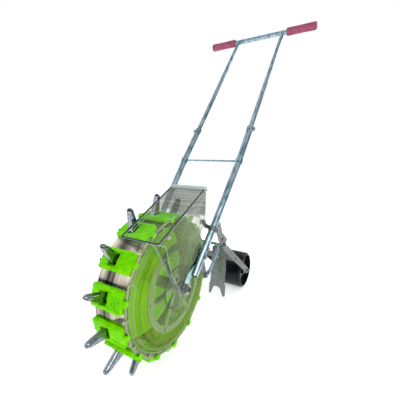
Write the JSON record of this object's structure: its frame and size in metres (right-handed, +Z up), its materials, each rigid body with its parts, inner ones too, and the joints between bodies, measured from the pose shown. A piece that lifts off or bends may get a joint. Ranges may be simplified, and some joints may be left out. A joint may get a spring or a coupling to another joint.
{
  "type": "walk-behind seed planter",
  "caption": "Walk-behind seed planter: a drum ringed with green seats and steel bills, clear side hopper, forked covering plate, press roller and telescoping T handle.",
  "frame": {"origin": "middle of the drum's axle, midway between the two legs", "axes": "+X along the axle to the hopper side, +Y back to the handle and roller, +Z up; the planter drives towards -Y"},
  "size_m": [0.504, 1.077, 1.178],
  "materials": {
    "steel_tube": "galvanised tube",
    "zinc_plate": "zinc plated sheet",
    "axle_steel": "turned",
    "fasteners": "zinc plated",
    "pin_steel": "dark oxide",
    "clear_hopper": "clear",
    "clear_lip": "clear",
    "clear_cover": "clear",
    "green_cover": "clear green",
    "rim_wire": "dark",
    "felt": "felt",
    "band_steel": "polished stainless",
    "bush_nylon": "turned nylon",
    "green_plastic": "moulded",
    "bill_steel": "bright pressed steel",
    "white_plastic": "moulded",
    "roller_black": "moulded",
    "grip_foam": "foam"
  },
  "bodies": {
    "frame": {"axle": "axle_steel", "axle_hardware": "fasteners", "leg_sleeve_near": "steel_tube", "leg_sleeve_far": "steel_tube", "leg_foot_near": "steel_tube", "leg_foot_far": "steel_tube", "frame_bolts": "fasteners", "gussets": "zinc_plate", "brace_rod": "steel_tube", "u_stay": "steel_tube", "ties": "zinc_plate", "hopper_bin": "clear_hopper", "hopper_rim": "rim_wire", "hopper_lip": "clear_lip", "hopper_bolts": "fasteners", "hopper_bracket": "zinc_plate", "feed_pocket": "clear_hopper", "feed_seal": "felt", "height_screws": "fasteners"},
    "drum": {"rim_band": "band_steel", "near_cover": "clear_cover", "far_cover": "green_cover", "hub": "zinc_plate", "hub_bushes": "bush_nylon", "seats": "green_plastic", "fixed_bills": "bill_steel", "hinge_pins": "pin_steel", "flap_springs": "pin_steel", "seed_boxes": "green_plastic", "seed_rollers": "white_plastic", "seat_screws": "fasteners", "cover_screws": "fasteners"},
    "trailing_arm": {"roller_bar_near": "zinc_plate", "roller_bar_far": "zinc_plate", "plate_carrier": "zinc_plate", "cover_plate": "zinc_plate", "arm_bolts": "fasteners", "roller_axle": "axle_steel"},
    "press_roller": {"roller": "roller_black", "roller_bushes": "bush_nylon"},
    "handle": {"upper_tube_near": "steel_tube", "upper_tube_far": "steel_tube", "cross_bar": "steel_tube", "grip_near": "grip_foam", "grip_far": "grip_foam"},
    "flap_01": {"flap_01": "bill_steel"},
    "flap_02": {"flap_02": "bill_steel"},
    "flap_03": {"flap_03": "bill_steel"},
    "flap_04": {"flap_04": "bill_steel"},
    "flap_05": {"flap_05": "bill_steel"},
    "flap_06": {"flap_06": "bill_steel"},
    "flap_07": {"flap_07": "bill_steel"},
    "flap_08": {"flap_08": "bill_steel"},
    "flap_09": {"flap_09": "bill_steel"},
    "flap_10": {"flap_10": "bill_steel"},
    "flap_11": {"flap_11": "bill_steel"},
    "flap_12": {"flap_12": "bill_steel"},
    "flap_13": {"flap_13": "bill_steel"},
    "flap_14": {"flap_14": "bill_steel"}
  },
  "joints": [
    {"name": "drum_spin", "type": "hinge", "parent": "frame", "child": "drum", "pos_m": [0, 0, 0], "axis": [1, 0, 0], "continuous": true},
    {"name": "arm_pivot", "type": "hinge", "parent": "frame", "child": "trailing_arm", "pos_m": [0, 0.256, 0.042], "axis": [1, 0, 0], "range_deg": [-4, 4]},
    {"name": "roller_spin", "type": "hinge", "parent": "trailing_arm", "child": "press_roller", "pos_m": [0, 0.53866, -0.16945], "axis": [1, 0, 0], "continuous": true},
    {"name": "handle_slide", "type": "slide", "parent": "frame", "child": "handle", "axis": [0, 0.673, 0.7396], "range_m": [-0.055, 0.04]},
    {"name": "flap_01_hinge", "type": "hinge", "parent": "drum", "child": "flap_01", "pos_m": [-0.0235, -0.01067, 0.19081], "axis": [1, 0, 0], "range_deg": [0, 12], "stiffness_Nm_per_rad": 0.12, "springref_deg": -20.05},
    {"name": "flap_02_hinge", "type": "hinge", "parent": "drum", "child": "flap_02", "pos_m": [-0.0235, -0.0924, 0.16729], "axis": [1, 0, 0], "range_deg": [0, 12], "stiffness_Nm_per_rad": 0.12, "springref_deg": -20.05},
    {"name": "flap_03_hinge", "type": "hinge", "parent": "drum", "child": "flap_03", "pos_m": [-0.0235, -0.15583, 0.11063], "axis": [1, 0, 0], "range_deg": [0, 12], "stiffness_Nm_per_rad": 0.12, "springref_deg": -20.05},
    {"name": "flap_04_hinge", "type": "hinge", "parent": "drum", "child": "flap_04", "pos_m": [-0.0235, -0.1884, 0.03206], "axis": [1, 0, 0], "range_deg": [0, 12], "stiffness_Nm_per_rad": 0.12, "springref_deg": -20.05},
    {"name": "flap_05_hinge", "type": "hinge", "parent": "drum", "child": "flap_05", "pos_m": [-0.0235, -0.18366, -0.05286], "axis": [1, 0, 0], "range_deg": [0, 12], "stiffness_Nm_per_rad": 0.12, "springref_deg": -20.05},
    {"name": "flap_06_hinge", "type": "hinge", "parent": "drum", "child": "flap_06", "pos_m": [-0.0235, -0.14253, -0.12731], "axis": [1, 0, 0], "range_deg": [0, 12], "stiffness_Nm_per_rad": 0.12, "springref_deg": -20.05},
    {"name": "flap_07_hinge", "type": "hinge", "parent": "drum", "child": "flap_07", "pos_m": [-0.0235, -0.07318, -0.17655], "axis": [1, 0, 0], "range_deg": [0, 12], "stiffness_Nm_per_rad": 0.12, "springref_deg": -20.05},
    {"name": "flap_08_hinge", "type": "hinge", "parent": "drum", "child": "flap_08", "pos_m": [-0.0235, 0.01067, -0.19081], "axis": [1, 0, 0], "range_deg": [0, 12], "stiffness_Nm_per_rad": 0.12, "springref_deg": -20.05},
    {"name": "flap_09_hinge", "type": "hinge", "parent": "drum", "child": "flap_09", "pos_m": [-0.0235, 0.0924, -0.16729], "axis": [1, 0, 0], "range_deg": [0, 12], "stiffness_Nm_per_rad": 0.12, "springref_deg": -20.05},
    {"name": "flap_10_hinge", "type": "hinge", "parent": "drum", "child": "flap_10", "pos_m": [-0.0235, 0.15583, -0.11063], "axis": [1, 0, 0], "range_deg": [0, 12], "stiffness_Nm_per_rad": 0.12, "springref_deg": -20.05},
    {"name": "flap_11_hinge", "type": "hinge", "parent": "drum", "child": "flap_11", "pos_m": [-0.0235, 0.1884, -0.03206], "axis": [1, 0, 0], "range_deg": [0, 12], "stiffness_Nm_per_rad": 0.12, "springref_deg": -20.05},
    {"name": "flap_12_hinge", "type": "hinge", "parent": "drum", "child": "flap_12", "pos_m": [-0.0235, 0.18366, 0.05286], "axis": [1, 0, 0], "range_deg": [0, 12], "stiffness_Nm_per_rad": 0.12, "springref_deg": -20.05},
    {"name": "flap_13_hinge", "type": "hinge", "parent": "drum", "child": "flap_13", "pos_m": [-0.0235, 0.14253, 0.12731], "axis": [1, 0, 0], "range_deg": [0, 12], "stiffness_Nm_per_rad": 0.12, "springref_deg": -20.05},
    {"name": "flap_14_hinge", "type": "hinge", "parent": "drum", "child": "flap_14", "pos_m": [-0.0235, 0.07318, 0.17655], "axis": [1, 0, 0], "range_deg": [0, 12], "stiffness_Nm_per_rad": 0.12, "springref_deg": -20.05}
  ]
}
